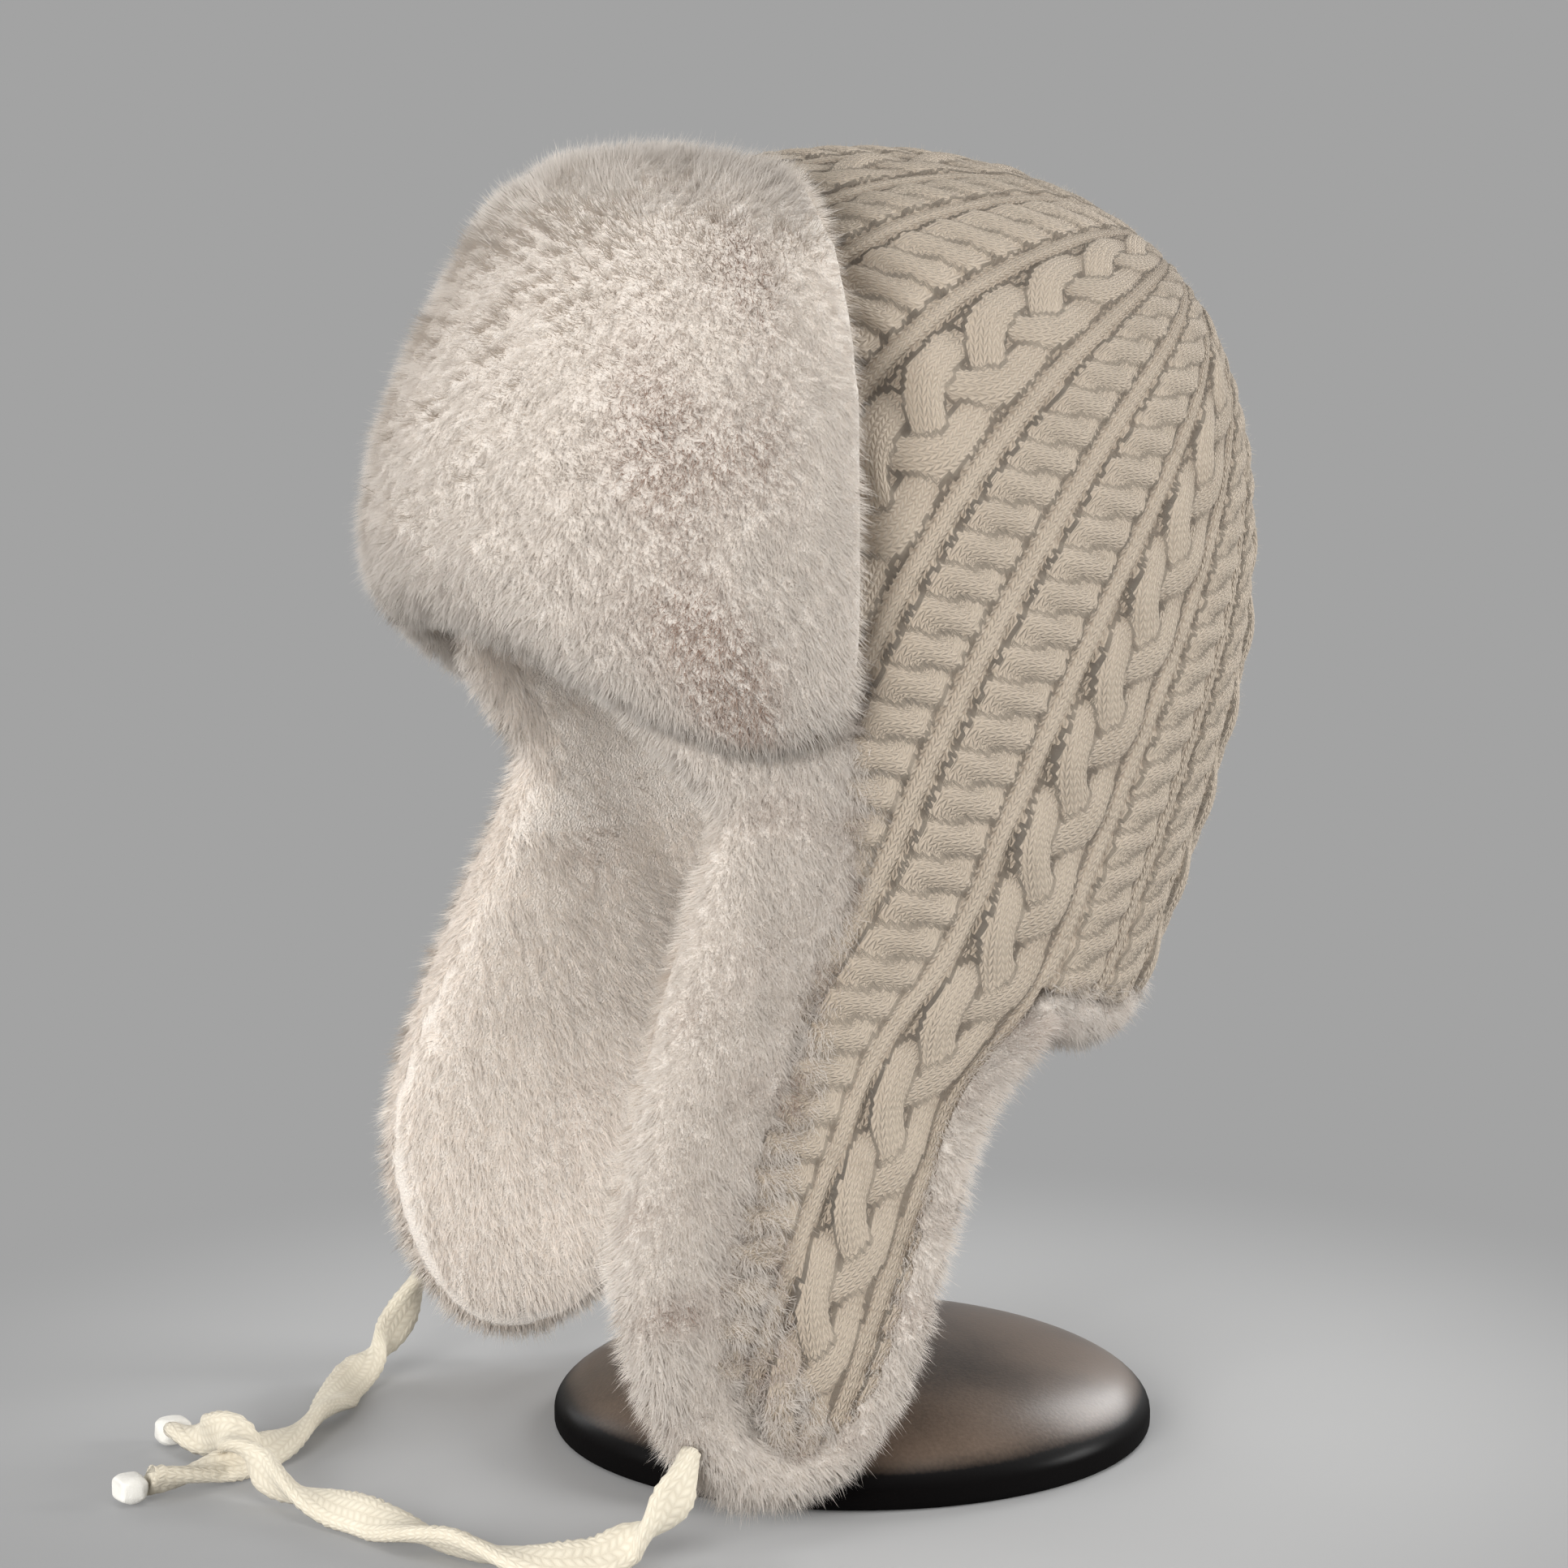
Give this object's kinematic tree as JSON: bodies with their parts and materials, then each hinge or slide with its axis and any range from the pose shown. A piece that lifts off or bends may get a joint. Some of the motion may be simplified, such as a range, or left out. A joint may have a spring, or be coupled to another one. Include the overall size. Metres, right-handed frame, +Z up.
{
  "type": "knitted aviator hat on display stand",
  "caption": "Cable-knit aviator hat with turned-up fur brim, fur-lined ear flaps and long ties, worn on a low domed stand with a hidden post",
  "frame": {"origin": "On the surface, under the middle of the stand's base", "axes": "+Z up, the hat faces -Y, +X is the wearer's left"},
  "size_m": [0.2284, 0.3503, 0.3814],
  "materials": {
    "knit": "matt cable knit in beige wool yarn",
    "fur": "short dense plush fur, warm off-white",
    "tie": "matt twisted knitted band, cream",
    "stand": "dark satin lacquer"
  },
  "bodies": {
    "root": {"knit_shell": "knit", "fur_lining": "fur", "fur_brim": "fur", "nape_trim": "fur", "flap_trim_left": "fur", "flap_trim_right": "fur", "tie_left": "tie", "tie_knot_left": "tie", "tie_right": "tie", "tie_knot_right": "tie", "stand_base": "stand", "stand_post": "stand"}
  },
  "joints": []
}
